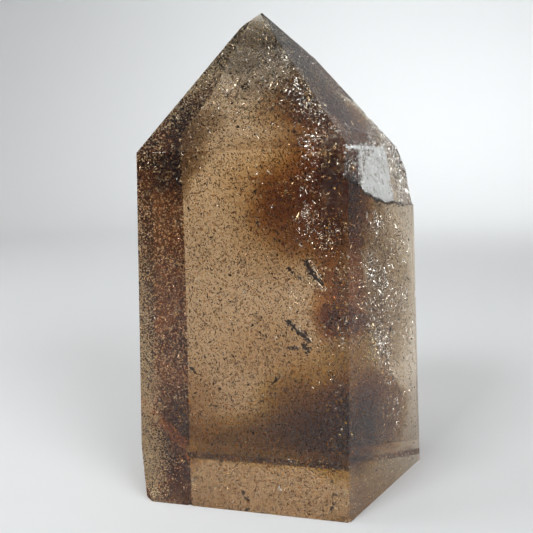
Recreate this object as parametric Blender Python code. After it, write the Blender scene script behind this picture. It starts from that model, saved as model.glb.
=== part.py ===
"""Smoky quartz crystal: one natural six-sided point that stands on a sawn flat base.

The crystal is worked out the way a mineralogist describes one. Each flat face is a plane, given by the
direction it looks in, how far it leans, and how far out it lies. A block is trimmed by every plane in
turn, which leaves the crystal. Its sharp edges are then worn a little, and the damage is taken out with
Boolean cutters: one long shell-shaped chip on the right shoulder, and small flakes along the edges.

Lengths are in millimetres here and become metres when the mesh is written. X runs along the front face
to the right, Y runs from the front face to the back, Z is up. The origin is the middle of the base.
"""

import math

import bmesh
import bpy
import numpy as np
from mathutils import Vector

MM = 0.001

# Driving dimensions of the whole point
FRONT_WIDTH = 32.1      # width of the front face at the base
DEPTH = 26.3            # front face to back face at the base
RIGHT_CORNER = (43.3, 19.6)     # right-hand corner of the base, from the front left corner
LEFT_CORNER = (-5.6, 12.1)      # left-hand corner of the base, from the front left corner
TIP = (16.85, 15.0, 75.5)       # where the end faces would meet if the tip were whole
SHOULDER = 53.7                 # height of the shoulder under the front end face

# Prism faces: outward direction in degrees from +X, and how far the face leans inwards as it rises
FRONT_LEAN = 2.1
RIGHT_LEAN = 1.55
BACK_RIGHT_DIRECTION = 30.0
BACK_RIGHT_LEAN = 3.33
BACK_LEAN = 1.5
BACK_LEFT_DIRECTION = 151.5
BACK_LEFT_LEAN = 1.5
LEFT_LEAN = 2.6
LEFT_OUT = 0.25         # the left face lies this far outside the front left corner at the base

# End faces: outward direction, slope from the horizontal, and how far inside the whole tip they pass
END_FACES = {
    "front_end": (-90.0, 59.1, 0.0),
    "right_end": (-23.5, 49.4, 0.0),
    "back_right_end": (42.0, 58.0, -3.94),      # the low one, which stops short of the tip
    "back_end": (90.3, 59.5, 0.0),
    "back_left_end": (158.9, 54.1, 0.0),
    "left_end": (205.0, 48.2, 0.0),
    "low_tip_break": (198.0, 41.0, 0.62),       # two small breaks that blunt the tip
    "high_tip_break": (214.0, 33.0, 0.95),
}

# Worn or ground places that are flat
FOOT_HEIGHT = 9.0               # the left face turns under below this height
FOOT_TURN = 2.2                 # by this many degrees
CORNER_CUT = 1.3                # the ground-off bottom corner at the front left, along the front edge
CORNER_DIRECTION = 200.0
CORNER_SLOPE = 135.0
BACK_CHAMFER = (1.0, 1.5)       # the back bottom edge is ground off: depth, height
EDGE_WEAR = 0.13                # width of the worn line along each sharp edge
SHARP_EDGE = 14.0               # edges that turn by more than this many degrees are worn

# The long chip on the right shoulder, in the right face's own frame:
# along = from the front right edge towards the back, height = up, depth = into the face
CHIP_LIP = ((-1.5, 50.1), (0.4, 49.8), (1.6, 49.9), (2.4, 49.6), (3.5, 49.5), (4.0, 48.9), (5.2, 48.3),
            (5.5, 47.7), (7.6, 47.3), (8.3, 46.8), (10.2, 46.5), (12.1, 45.9), (14.0, 46.1), (15.5, 45.6),
            (18.8, 45.3), (24.0, 45.0))             # along, height of the chip's lower lip
CHIP_RIDGES = ((-1.5, 0.02), (0.2, 0.15), (4.6, 0.45), (5.4, 0.78), (12.2, 1.76), (12.8, 1.70),
               (18.8, 2.15), (24.0, 2.45))          # along, depth at the chip's top
CHIP_TOP = 58.5
CHIP_LIP_DEPTH = 0.45
CHIP_LIP_SLOPE = 0.6            # height of the lip's wall for each mm of its depth
CHIP_SCOOP = 0.2                # how far the chip is hollowed between its top and its lip
SCOOP_START = 5.0               # the hollow is full from this far along
CHIP_RIPPLE = 0.022
CHIP_RIPPLE_SPACING = 1.9
CHIP_BLOW = (17.5, 55.5)        # where the blow fell: the ripples spread from here
CHIP_SPLINTER = 0.06            # height of the splintery grain in the chip's far part
SPLINTER_START = 12.8           # the grain begins this far along
FADE_WIDTH = 1.5                # and reaches its full height over this width
CHIP_SPLINTERS = ((4.6, 1.7), (-2.9, 3.8), (7.3, -2.2))     # waves of the grain, per mm along and up
LIP_FADE = 2.5                  # ripples and grain reach full height this many times before the top
CHIP_COLUMNS = 76
CHIP_ROWS = 44
CUTTER_REACH = 7.0

# Small flakes off the edges: the two faces that meet there, where along their edge (an axis and a value
# on it), the size of the bite in X, Y and Z, and how deep it goes
FLAKES = (
    ("low_tip_break", "front_end", "Z", 73.6, (0.7, 0.7, 0.6), 0.24),
    ("right_end", "back_end", "Z", 71.2, (1.0, 1.0, 0.6), 0.15),
    ("right_end", "back_end", "Z", 68.9, (1.0, 1.0, 0.7), 0.22),
    ("right_end", "back_right_end", "Z", 58.8, (1.5, 1.5, 1.1), 0.30),
    ("right_end", "back_right_end", "Z", 57.1, (0.8, 1.1, 0.9), 0.20),
    ("right_end", "back_right_end", "Z", 64.0, (0.8, 1.0, 0.8), 0.12),
    ("front_end", "right_end", "Z", 61.6, (0.7, 0.7, 1.6), 0.16),
    ("front_end", "right_end", "Z", 69.3, (0.5, 0.5, 0.8), 0.12),
    ("front_end", "left_end", "Z", 64.7, (0.6, 0.6, 0.9), 0.12),
    ("front", "right", "Z", 39.5, (0.4, 0.4, 0.9), 0.12),
    ("front", "right", "Z", 27.0, (0.4, 0.4, 0.7), 0.10),
    ("front", "right", "Z", 9.3, (0.5, 0.5, 1.0), 0.18),
    ("front", "right", "Z", 5.4, (0.6, 0.6, 1.2), 0.22),
    ("front", "right", "Z", 0.2, (0.8, 0.8, 0.6), 0.24),
    ("front", "left", "Z", 31.0, (0.5, 0.5, 1.1), 0.12),
    ("right", "back_right", "Z", 30.4, (0.6, 0.6, 1.3), 0.16),
    ("right", "back_right", "Z", 13.1, (0.5, 0.5, 0.9), 0.14),
    ("back", "back_left", "Z", 22.0, (0.6, 0.6, 1.3), 0.18),
    ("back", "back_left", "Z", 41.5, (0.5, 0.5, 0.9), 0.14),
    ("left", "back_left", "Z", 35.0, (0.6, 0.6, 1.5), 0.18),
    ("front", "base", "X", 7.6, (0.7, 0.5, 0.5), 0.16),
    ("right", "base", "Y", 11.9, (1.2, 1.2, 0.6), 0.24),
    ("back_left", "base", "Y", 20.0, (1.0, 1.0, 0.6), 0.18),
    ("back", "back_end", "X", 14.0, (1.6, 0.7, 0.7), 0.20),
)
FLAKE_ROUNDNESS = 2             # icosphere subdivisions
FLAKE_KNOBS = 0.05              # the ball's knobs stand out or in by up to this share of its size
FLAKE_SEED = 11

SMOKE_COLOUR = (0.33, 0.20, 0.11, 1.0)
SMOKE_ROUGHNESS = 0.04
QUARTZ_IOR = 1.544


def clear_scene():
    """Remove whatever the file already holds."""
    for thing in list(bpy.data.objects):
        bpy.data.objects.remove(thing, do_unlink=True)


def outward(direction, slope):
    """Unit vector of a face that looks along direction (degrees) and slopes up from the horizontal."""
    d, s = math.radians(direction), math.radians(slope)
    return Vector((math.cos(d) * math.sin(s), math.sin(d) * math.sin(s), math.cos(s)))


def side_direction(start, end):
    """Outward direction in degrees of a base edge walked anticlockwise from start to end."""
    return math.degrees(math.atan2(end[1] - start[1], end[0] - start[0])) - 90.0


def prism_planes():
    """The six side faces by name, as (point on the face, outward normal), from the base outline."""
    front_right = (FRONT_WIDTH, 0.0)
    right = side_direction(front_right, RIGHT_CORNER)
    left = side_direction(LEFT_CORNER, (0.0, 0.0))
    faces = {
        "front": ((0.0, 0.0), -90.0, FRONT_LEAN, 0.0),
        "right": (front_right, right, RIGHT_LEAN, 0.0),
        "back_right": (RIGHT_CORNER, BACK_RIGHT_DIRECTION, BACK_RIGHT_LEAN, 0.0),
        "back": ((0.0, DEPTH), 90.0, BACK_LEAN, 0.0),
        "back_left": (LEFT_CORNER, BACK_LEFT_DIRECTION, BACK_LEFT_LEAN, 0.0),
        "left": ((0.0, 0.0), left, LEFT_LEAN, LEFT_OUT),
    }
    return {name: (Vector((x, y, 0.0)) + outward(way, 90.0) * out, outward(way, 90.0 - lean))
            for name, ((x, y), way, lean, out) in faces.items()}


def end_planes():
    """The six end faces that close the point, and the two small breaks beside the tip, by name."""
    tip = Vector(TIP)
    return {name: (tip - outward(way, slope) * inside, outward(way, slope))
            for name, (way, slope, inside) in END_FACES.items()}


def worn_planes():
    """The flat ground or worn places near the base, and the base itself, by name."""
    left = side_direction(LEFT_CORNER, (0.0, 0.0))
    leaned_in = math.tan(math.radians(LEFT_LEAN)) * FOOT_HEIGHT - LEFT_OUT
    foot_point = Vector((0.0, 0.0, FOOT_HEIGHT)) - outward(left, 90.0) * leaned_in
    chamfer_in, chamfer_up = BACK_CHAMFER
    chamfer_slope = 90.0 + math.degrees(math.atan2(chamfer_in, chamfer_up))
    return {
        "foot": (foot_point, outward(left, 90.0 + FOOT_TURN)),
        "ground_corner": (Vector((CORNER_CUT, 0.0, 0.0)), outward(CORNER_DIRECTION, CORNER_SLOPE)),
        "back_chamfer": (Vector((0.0, DEPTH, chamfer_up)), outward(90.0, chamfer_slope)),
        "base": (Vector((0.0, 0.0, 0.0)), Vector((0.0, 0.0, -1.0))),
    }


def all_planes():
    """Every flat face of the crystal by name, as (point on the face, outward normal)."""
    return prism_planes() | end_planes() | worn_planes()


def trimmed_block():
    """A block cut by every plane in turn: what is left is the whole crystal with flat faces."""
    bm = bmesh.new()
    bmesh.ops.create_cube(bm, size=4.0 * SHOULDER)
    for point, normal in all_planes().values():
        parts = bm.verts[:] + bm.edges[:] + bm.faces[:]
        cut = bmesh.ops.bisect_plane(bm, geom=parts, plane_co=point, plane_no=normal, clear_outer=True)
        rim = [e for e in cut["geom_cut"] if isinstance(e, bmesh.types.BMEdge)]
        if rim:
            bmesh.ops.contextual_create(bm, geom=rim)
    bmesh.ops.remove_doubles(bm, verts=bm.verts[:], dist=0.001)
    bmesh.ops.recalc_face_normals(bm, faces=bm.faces[:])
    return bm


def wear_edges(bm):
    """Give every sharp edge the narrow worn line that a handled crystal has."""
    sharp = [e for e in bm.edges if math.degrees(e.calc_face_angle(0.0)) > SHARP_EDGE]
    bmesh.ops.bevel(bm, geom=sharp, offset=EDGE_WEAR, segments=1, affect="EDGES", profile=0.5,
                    clamp_overlap=True)


def base_middle(bm):
    """Middle of the crystal's footprint, which becomes the origin."""
    xs = [v.co.x for v in bm.verts]
    ys = [v.co.y for v in bm.verts]
    return Vector(((min(xs) + max(xs)) / 2.0, (min(ys) + max(ys)) / 2.0, 0.0))


def chip_surface(along, height):
    """Depth of the shoulder chip below the right face, in arrays.

    The depth at the chip's top follows CHIP_RIDGES. From there it falls in a straight line to the lip
    depth at the lip's height. Below the lip it climbs steeply out of the face. Two finer forms are added,
    and both fade towards the lip: ripples, which are rings around the place of the blow, and past the
    second ridge a splintery grain, which is a product of waves.
    """
    lip_along, lip_height = np.array(CHIP_LIP).T
    ridge_along, ridge_depth = np.array(CHIP_RIDGES).T
    lip = np.interp(along, lip_along, lip_height)
    top = np.interp(along, ridge_along, ridge_depth)
    rise = np.clip((height - lip) / (SHOULDER - lip), 0.0, None)
    scoop = CHIP_SCOOP * np.sin(np.pi * np.clip(rise, 0.0, 1.0)) * np.clip(along / SCOOP_START, 0.0, 1.0)
    depth = CHIP_LIP_DEPTH + (top - CHIP_LIP_DEPTH) * rise + scoop
    ring = np.hypot(along - CHIP_BLOW[0], height - CHIP_BLOW[1])
    fine = CHIP_RIPPLE * np.sin(2.0 * np.pi * ring / CHIP_RIPPLE_SPACING)
    grain = sum(np.sin(a * along + h * height) for a, h in CHIP_SPLINTERS) / len(CHIP_SPLINTERS)
    fine = fine + CHIP_SPLINTER * grain * np.clip((along - SPLINTER_START) / FADE_WIDTH, 0.0, 1.0)
    depth = depth + fine * np.clip(rise * LIP_FADE, 0.0, 1.0)
    below = np.clip(lip - height, 0.0, None)
    return np.where(height < lip, CHIP_LIP_DEPTH - below / CHIP_LIP_SLOPE, depth)


def chip_cutter(origin):
    """Closed cutter: the chip's rippled surface on its inner side, and a flat lid well outside the face."""
    point, normal = prism_planes()["right"]
    run = Vector((-normal.y, normal.x, 0.0)).normalized()
    rise = run.cross(normal) * -1.0
    along = np.linspace(CHIP_LIP[0][0], CHIP_LIP[-1][0], CHIP_COLUMNS)
    low = np.interp(along, *np.array(CHIP_LIP).T) - 2.0 * CHIP_LIP_DEPTH * CHIP_LIP_SLOPE
    share = np.linspace(0.0, 1.0, CHIP_ROWS) ** 1.25
    height = low[:, None] + (CHIP_TOP - low[:, None]) * share[None, :]
    along = np.repeat(along[:, None], CHIP_ROWS, axis=1)
    depth = chip_surface(along, height)
    frame = np.array((run, rise, normal))
    foot = np.array(point - origin)
    inner = foot + along[..., None] * frame[0] + height[..., None] * frame[1] - depth[..., None] * frame[2]
    outer = foot + along[..., None] * frame[0] + height[..., None] * frame[1] + CUTTER_REACH * frame[2]
    return closed_slab("chip_cutter", inner * MM, outer * MM)


def closed_slab(name, inner, outer):
    """Closed mesh object between two grids of points that have the same rows and columns."""
    rows, columns = inner.shape[:2]
    count = rows * columns
    index = np.arange(count).reshape(rows, columns)
    a, b = index[:-1, :-1], index[1:, :-1]
    c, d = index[1:, 1:], index[:-1, 1:]
    front = np.stack((a, b, c, d), axis=-1).reshape(-1, 4)
    rim = np.concatenate((index[:, 0], index[-1, 1:], index[-2::-1, -1], index[0, -2:0:-1]))
    turned = np.roll(rim, -1)
    walls = np.stack((rim, turned, turned + count, rim + count), axis=-1)
    quads = np.concatenate((front, front[:, ::-1] + count, walls[:, ::-1]))
    points = np.concatenate((inner.reshape(-1, 3), outer.reshape(-1, 3)))
    mesh = bpy.data.meshes.new(name)
    mesh.from_pydata(points.tolist(), [], quads.tolist())
    bm = bmesh.new()
    bm.from_mesh(mesh)
    bmesh.ops.recalc_face_normals(bm, faces=bm.faces[:])
    bm.to_mesh(mesh)
    bm.free()
    return bpy.data.objects.new(name, mesh)


def edge_place(first, second, axis, value):
    """The point where two named faces meet at a value on one axis, and the way straight out of the edge."""
    planes = all_planes()
    (point_a, normal_a), (point_b, normal_b) = planes[first], planes[second]
    across = Vector([1.0 if letter == axis else 0.0 for letter in "XYZ"])
    rows = np.array((normal_a, normal_b, across))
    values = np.array((normal_a.dot(point_a), normal_b.dot(point_b), value))
    return Vector(np.linalg.solve(rows, values)), (normal_a + normal_b).normalized()


def flake_cutter(number, flake, origin):
    """A knobbly ball that bites one flake out of an edge, pushed out so that it goes only so deep."""
    first, second, axis, value, size, depth = flake
    place, away = edge_place(first, second, axis, value)
    random = np.random.default_rng(FLAKE_SEED + number)
    bm = bmesh.new()
    bmesh.ops.create_icosphere(bm, subdivisions=FLAKE_ROUNDNESS, radius=1.0)
    reach = Vector([a * s for a, s in zip(away, size)]).length
    centre = place + away * (reach - depth) - origin
    for vert, bump in zip(bm.verts, random.uniform(1.0 - FLAKE_KNOBS, 1.0 + FLAKE_KNOBS, len(bm.verts))):
        vert.co = (centre + Vector([c * s * bump for c, s in zip(vert.co, size)])) * MM
    mesh = bpy.data.meshes.new(f"flake_cutter_{number:02d}")
    bm.to_mesh(mesh)
    bm.free()
    return bpy.data.objects.new(mesh.name, mesh)


def hide_cutter(cutter):
    """Link a cutter so that it is seen as wire and left out of what is built."""
    bpy.context.scene.collection.objects.link(cutter)
    cutter.hide_render = True
    cutter.display_type = "WIRE"


def take_out(solid, cutter):
    """Subtract a cutter with an exact Boolean."""
    hide_cutter(cutter)
    cut = solid.modifiers.new(cutter.name, "BOOLEAN")
    cut.operation = "DIFFERENCE"
    cut.solver = "EXACT"
    cut.object = cutter


def smoky_quartz():
    """Clear quartz coloured brown by the smoke in it."""
    material = bpy.data.materials.new("smoky_quartz")
    material.use_nodes = True
    shader = material.node_tree.nodes["Principled BSDF"]
    shader.inputs["Base Color"].default_value = SMOKE_COLOUR
    shader.inputs["Roughness"].default_value = SMOKE_ROUGHNESS
    shader.inputs["Metallic"].default_value = 0.0
    shader.inputs["IOR"].default_value = QUARTZ_IOR
    shader.inputs["Transmission Weight"].default_value = 1.0
    return material


def make_crystal():
    """The whole crystal: trimmed block, worn edges, the shoulder chip and the edge flakes."""
    bm = trimmed_block()
    origin = base_middle(bm)
    wear_edges(bm)
    for vert in bm.verts:
        vert.co = (vert.co - origin) * MM
    bmesh.ops.triangulate(bm, faces=bm.faces[:])
    mesh = bpy.data.meshes.new("crystal")
    bm.to_mesh(mesh)
    bm.free()
    crystal = bpy.data.objects.new("crystal", mesh)
    bpy.context.scene.collection.objects.link(crystal)
    mesh.materials.append(smoky_quartz())
    take_out(crystal, chip_cutter(origin))
    for number, flake in enumerate(FLAKES):
        take_out(crystal, flake_cutter(number, flake, origin))
    print("origin from the front left corner, mm:", [round(c, 3) for c in origin])
    return crystal


clear_scene()
make_crystal()
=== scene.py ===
# %% [markdown]
# # A smoky quartz crystal
# The real thing is one natural six-sided point of smoky quartz that stands on a sawn base. It is clear
# enough to look into. What gives it its look is all inside: a warm brown tint that deepens with the
# thickness, thousands of dark specks, silvery cracks, and a cloud of denser smoke under the shoulder.
#
# The crystal's own shape comes packed, and this lesson leaves it as it is. Here it gets its glass, and then
# everything that floats in it, each as a small mesh worked out with numpy.

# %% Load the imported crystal
import math

import bpy
import numpy as np
from mathutils import Matrix, Vector


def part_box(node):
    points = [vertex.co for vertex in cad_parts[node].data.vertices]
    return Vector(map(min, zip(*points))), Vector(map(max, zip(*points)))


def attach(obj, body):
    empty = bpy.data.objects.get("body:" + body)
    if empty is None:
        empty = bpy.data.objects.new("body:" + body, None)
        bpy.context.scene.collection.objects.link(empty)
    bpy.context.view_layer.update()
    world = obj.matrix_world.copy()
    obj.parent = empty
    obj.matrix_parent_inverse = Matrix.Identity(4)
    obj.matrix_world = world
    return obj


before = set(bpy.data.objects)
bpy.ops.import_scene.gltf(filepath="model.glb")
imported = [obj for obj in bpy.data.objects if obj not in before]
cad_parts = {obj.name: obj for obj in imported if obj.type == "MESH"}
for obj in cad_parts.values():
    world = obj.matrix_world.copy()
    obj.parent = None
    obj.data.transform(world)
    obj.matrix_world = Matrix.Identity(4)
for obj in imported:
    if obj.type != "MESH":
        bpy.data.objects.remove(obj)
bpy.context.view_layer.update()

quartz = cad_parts["crystal"]
MM = 0.001              # every length below is in millimetres, and becomes metres in the mesh
crystal_box = [np.array(corner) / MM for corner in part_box("crystal")]
print("crystal box, mm:", *(np.round(corner, 2) for corner in crystal_box))

# %% [markdown]
# ## The camera
# A photograph is matched first by its viewpoint. The camera stands level with the middle of the crystal's
# upper half, close to it, and looks down a little. It is turned to the left and rolled slightly, the way a
# hand-held camera is. The lens is given as a length in pixels of the picture, which is the focal length
# that a solved camera comes with, and a sensor 36 mm wide turns it into a lens.

# %% Camera at the viewing angle
PICTURE_WIDTH = 533
FOCAL_PIXELS = 534
SENSOR = 36
CAMERA_PLACE = (16.643, -84.017, 50.6)
TURN_LEFT, LOOK_DOWN, ROLL = (math.radians(angle) for angle in (11.95, 10.0, 1.34))

forward = Vector((-math.sin(TURN_LEFT) * math.cos(LOOK_DOWN),
                  math.cos(TURN_LEFT) * math.cos(LOOK_DOWN),
                  -math.sin(LOOK_DOWN)))
level = Vector((math.cos(TURN_LEFT), math.sin(TURN_LEFT), 0.0))
upright = level.cross(forward)
across = level * math.cos(ROLL) - upright * math.sin(ROLL)
upward = level * math.sin(ROLL) + upright * math.cos(ROLL)

lens = bpy.data.cameras.new("camera")
lens.sensor_width = SENSOR
lens.lens = SENSOR * FOCAL_PIXELS / PICTURE_WIDTH
lens.clip_start = MM
camera = bpy.data.objects.new("camera", lens)
bpy.context.scene.collection.objects.link(camera)
turned = Matrix((across, upward, -forward)).transposed().to_4x4()
camera.matrix_world = Matrix.Translation(Vector(CAMERA_PLACE) * MM) @ turned
bpy.context.scene.camera = camera
print("lens, mm:", round(lens.lens, 2))


# %% [markdown]
# ## Materials and meshes from arrays
# Every finish below is a node tree, and every piece is a mesh filled from arrays, so both get a short
# helper. Most grains share one kind of finish: a tone that wanders between two colours with a fine noise,
# because no natural grain is one flat colour. The mesh helper takes points in millimetres and triangles as
# rows of three numbers.

# %% Helpers for materials and meshes
def new_material(name):
    """A material with its node tree and its Principled BSDF."""
    material = bpy.data.materials.new(name)
    material.use_nodes = True
    return material, material.node_tree, material.node_tree.nodes["Principled BSDF"]


def add_node(tree, kind, **values):
    """A shader node. A value is one of its settings, or an input whose spaces are written as _."""
    node = tree.nodes.new(kind)
    for key, value in values.items():
        if hasattr(node, key):
            setattr(node, key, value)
        else:
            node.inputs[key.replace("_", " ")].default_value = value
    return node


def colour(*rgb):
    """A colour with full cover."""
    return (*rgb, 1.0)


def mottled(name, low, high, waves, roughness, metallic=0.0, specular=0.5):
    """A finish that wanders from the colour low to the colour high by a noise of so many waves per metre."""
    material, tree, shader = new_material(name)
    noise = add_node(tree, "ShaderNodeTexNoise", Scale=waves, Detail=2.0)
    ramp = add_node(tree, "ShaderNodeValToRGB")
    for stop, tone in zip(ramp.color_ramp.elements, (low, high)):
        stop.color = colour(*tone)
    tree.links.new(add_node(tree, "ShaderNodeTexCoord").outputs["Object"], noise.inputs["Vector"])
    tree.links.new(noise.outputs["Fac"], ramp.inputs["Fac"])
    tree.links.new(ramp.outputs["Color"], shader.inputs["Base Color"])
    shader.inputs["Roughness"].default_value = roughness
    shader.inputs["Metallic"].default_value = metallic
    shader.inputs["Specular IOR Level"].default_value = specular
    return material


def make_piece(name, points, triangles, material, smooth=False):
    """A mesh piece that belongs to the crystal: it rides on the root body."""
    mesh = bpy.data.meshes.new(name)
    mesh.from_pydata(points * MM, [], triangles)
    mesh.materials.append(material)
    if smooth:
        mesh.shade_smooth()
    else:
        mesh.shade_flat()
    mesh.update()
    piece = bpy.data.objects.new(name, mesh)
    bpy.context.scene.collection.objects.link(piece)
    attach(piece, "root")
    print(f"{name}: {len(triangles)} triangles")
    return piece


# %% [markdown]
# ## The stage
# Clear crystal shows what stands round it, so the room matters more than for any solid thing. The stage is
# a pale floor that curves up into a wall all round, like a photographer's cove bent into a bowl. It has no
# corner and no horizon line that the crystal would bend and repeat. It is a profile turned about the
# vertical: flat out to a radius, then a quarter circle, then straight up to its rim.

# %% Floor and cove
FLOOR_RADIUS = 420.0
FLOOR_GAP = 0.04            # the crystal touches the floor at a few points only, with air under the rest
COVE_RADIUS = 330.0
COVE_TOP = 620.0
COVE_STEPS = 20
TURN_STEPS = 96
PLASTER = 0.78, 0.782, 0.785
PLASTER_ROUGHNESS = 0.9


def cove_points():
    """Profile (radius, height) turned by an angle u: x = radius cos u, y = radius sin u, z = height."""
    bend = np.linspace(0.0, math.pi / 2, COVE_STEPS)
    wall = FLOOR_RADIUS + COVE_RADIUS
    radius = np.concatenate([[1.0], FLOOR_RADIUS + COVE_RADIUS * np.sin(bend), [wall]])
    height = np.concatenate([[0.0], COVE_RADIUS * (1.0 - np.cos(bend)), [COVE_TOP]]) - FLOOR_GAP
    u = np.linspace(0.0, 2 * math.pi, TURN_STEPS, endpoint=False)
    return np.stack([radius[:, None] * np.cos(u), radius[:, None] * np.sin(u),
                     np.repeat(height[:, None], TURN_STEPS, axis=1)], axis=2)


def cove_faces(rings):
    """One quad between each pair of neighbouring rings and angles, and one face that closes the middle."""
    step = np.arange(TURN_STEPS)
    after = (step + 1) % TURN_STEPS
    start = np.arange(rings - 1)[:, None] * TURN_STEPS
    outer = start + TURN_STEPS
    quads = np.stack([start + step, outer + step, outer + after, start + after], axis=2)
    return quads.reshape(-1, 4).tolist() + [step.tolist()]


cove_rings = cove_points()
cove_mesh = bpy.data.meshes.new("floor")
cove_mesh.from_pydata(cove_rings.reshape(-1, 3) * MM, [], cove_faces(len(cove_rings)))
cove_mesh.shade_smooth()
floor = bpy.data.objects.new("floor", cove_mesh)
bpy.context.scene.collection.objects.link(floor)

plaster, _, plaster_shader = new_material("pale plaster")
plaster_shader.inputs["Base Color"].default_value = colour(*PLASTER)
plaster_shader.inputs["Roughness"].default_value = PLASTER_ROUGHNESS
cove_mesh.materials.append(plaster)
print("cove faces:", len(cove_mesh.polygons))

# %% [markdown]
# ## Light
# The open top of the cove lets in a soft sky, brightest from the upper left in front. Three panels wash the
# wall behind the crystal, because the tint only shows against something bright behind it. The other three
# light the crystal itself: a key from the upper left and a fill from the right give the little cracks
# something to mirror, and a weak one lifts the golden dust behind the left faces, which is painted light. A
# panel's spread keeps its light off everything else. The side where the camera stands stays dimmer, so the
# crystal's edges and corners, which look back that way, come out darker than its middle.

# %% Sky and soft panels
SKY = colour(1.0, 0.99, 0.975)
SKY_DIM, SKY_BRIGHT = 0.13, 0.38
KEY_DIRECTION = (-0.38, -0.60, 0.70)        # where the sky is brightest: up, in front and to the left
KEY_EDGE = -0.25, 0.85                      # and over which cosines to that direction it brightens
PANEL_COLOUR = 0.95, 0.985, 1.0
# name, place, what it looks at, width, watts, spread in degrees
PANELS = (("upper wall wash", (-100, 300, 620), (-170, 740, 470), 240, 0.14, 110.0),
          ("back wash", (0, 260, 560), (-60, 740, 40), 260, 0.58, 110.0),
          ("right wash", (260, 220, 420), (110, 740, 20), 240, 0.30, 85.0),
          ("key", (-330, -420, 520), (0, 0, 40), 240, 0.85, 110.0),
          ("fill", (420, -330, 250), (12, -3, 45), 380, 0.42, 60.0),
          ("left fill", (-520, -60, 210), (-18, -2, 30), 320, 0.22, 70.0))

world = bpy.data.worlds.new("sky")
world.use_nodes = True
sky_tree = world.node_tree
background = sky_tree.nodes["Background"]
background.inputs["Color"].default_value = SKY
towards_key = add_node(sky_tree, "ShaderNodeVectorMath", operation="DOT_PRODUCT")
towards_key.inputs[1].default_value = Vector(KEY_DIRECTION).normalized()
sky_tree.links.new(add_node(sky_tree, "ShaderNodeTexCoord").outputs["Generated"], towards_key.inputs[0])
sky_range = add_node(sky_tree, "ShaderNodeMapRange", interpolation_type="SMOOTHSTEP")
for key, value in zip(("From Min", "From Max", "To Min", "To Max"), (*KEY_EDGE, SKY_DIM, SKY_BRIGHT)):
    sky_range.inputs[key].default_value = value
sky_tree.links.new(towards_key.outputs["Value"], sky_range.inputs["Value"])
sky_tree.links.new(sky_range.outputs["Result"], background.inputs["Strength"])
bpy.context.scene.world = world


def soft_panel(name, place, aim, width, watts, spread):
    """A square area light at place, turned to look at aim; lengths in millimetres, spread in degrees."""
    light = bpy.data.lights.new(name, "AREA")
    light.color = PANEL_COLOUR
    light.size = width * MM
    light.spread = math.radians(spread)
    light.energy = watts
    panel = bpy.data.objects.new(name, light)
    bpy.context.scene.collection.objects.link(panel)
    away = Vector(place) - Vector(aim)
    panel.location = Vector(place) * MM
    panel.rotation_euler = away.to_track_quat("Z", "Y").to_euler()
    print(f"{name}: {watts} W, {width} mm wide")


for row in PANELS:
    soft_panel(*row)

# %% [markdown]
# ## How the render follows light through the crystal
# A ray that enters the crystal bounces between its faces many times before it leaves, and it passes the
# smoke's soft bodies on the way. The bounce limits are raised for that. The view is Standard, which keeps
# the brown as it is lit.

# %% Bounces and view
scene = bpy.context.scene
scene.cycles.max_bounces = 24
scene.cycles.diffuse_bounces = 8
scene.cycles.transmission_bounces = 24
scene.cycles.glossy_bounces = 16
scene.cycles.transparent_max_bounces = 48
scene.cycles.blur_glossy = 0.3
scene.view_settings.view_transform = "Standard"
print("bounces:", scene.cycles.max_bounces)

# %% [markdown]
# ## Reading the crystal's faces
# Much of what follows asks how deep a point lies behind a face. The faces aren't typed in: they are read
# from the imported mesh. Triangles that look the same way are gathered, and a group counts as an outer face
# when it is large enough and nothing of the crystal lies further out than it does. The worn edges and the
# broken tip count too, and the hollow of the chip doesn't.

# %% Flat faces of the crystal, read from its mesh
FACE_AREA = 2.0             # a flat face is larger than this, in square millimetres; the blunt tip has 3
HULL_GAP = 0.05             # and nothing of the crystal lies further out than this
RIGHT_TURN = math.radians(60.3)             # the right face runs this far round from the front face
ALONG_RIGHT = np.array([math.cos(RIGHT_TURN), math.sin(RIGHT_TURN), 0.0])
RIGHT_FACE_LOOKS = np.array([math.sin(RIGHT_TURN), -math.cos(RIGHT_TURN), 0.0])


def flat_faces(mesh):
    """Outward directions and distances from the origin of the crystal's large outer faces, in mm."""
    count = len(mesh.polygons)
    normals, centres, areas = np.empty(count * 3), np.empty(count * 3), np.empty(count)
    mesh.polygons.foreach_get("normal", normals)
    mesh.polygons.foreach_get("center", centres)
    mesh.polygons.foreach_get("area", areas)
    normals, centres, areas = normals.reshape(-1, 3), centres.reshape(-1, 3) / MM, areas / MM ** 2
    groups, member = np.unique(np.round(normals, 2), axis=0, return_inverse=True)
    member = member.ravel()
    group_area = np.bincount(member, areas)
    directions = np.stack([np.bincount(member, areas * normals[:, k]) for k in range(3)], axis=1)
    directions /= np.linalg.norm(directions, axis=1)[:, None]
    reach = centres @ directions.T
    distances = np.array([reach[member == g, g].max() for g in range(len(groups))])
    large = (group_area > FACE_AREA) & (reach.max(axis=0) - distances < HULL_GAP)
    return directions[large], distances[large]


def face_towards(looks):
    """Number of the face whose direction comes nearest to looks."""
    return int(np.argmax(face_directions @ looks))


face_directions, face_distances = flat_faces(quartz.data)
print("flat faces found:", len(face_distances))
right_face = face_towards(RIGHT_FACE_LOOKS)
right_normal, right_distance = face_directions[right_face], face_distances[right_face]
print("right face:", np.round(right_normal, 3), round(float(right_distance), 2))

# %% [markdown]
# ## The smoky glass
# Quartz is clear, with a refractive index of 1.544. Its brown comes from the whole thickness, so it is an
# absorption in the volume and not a painted surface: a thin corner is nearly colourless and the middle is
# deep brown. The faces are natural and glossy. They get only a trace of waviness, a thin film of dirt in
# places, fine upright lines on the lower right face, a ground look on the bevel along the back bottom edge,
# and a frosted look in the chip, where the surface is splintery.
#
# The chip is found by its depth: it is the part of the surface that lies inside the plane of the right face.

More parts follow.
